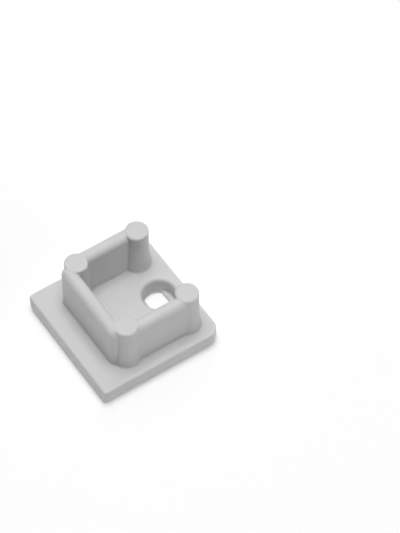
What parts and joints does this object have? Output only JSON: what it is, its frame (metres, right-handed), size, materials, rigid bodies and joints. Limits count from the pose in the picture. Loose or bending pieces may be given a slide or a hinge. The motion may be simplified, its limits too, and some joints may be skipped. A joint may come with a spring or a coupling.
{
  "type": "profile end cap",
  "caption": "Square push-in end cap for a hollow profile: a plate with one flat side and rounded others, a walled spigot with corner posts, and a cable hole with flats.",
  "frame": {"origin": "middle of the plate's outer face, which the cap lies on", "axes": "+Z from the outer face towards the spigot's end; +X from the plate's flat side to the side where the spigot is open"},
  "size_m": [0.0194, 0.02, 0.0104],
  "materials": {
    "body": "fine matte, light grey, moulded"
  },
  "bodies": {
    "root": {"end_cap": "body"}
  },
  "joints": []
}
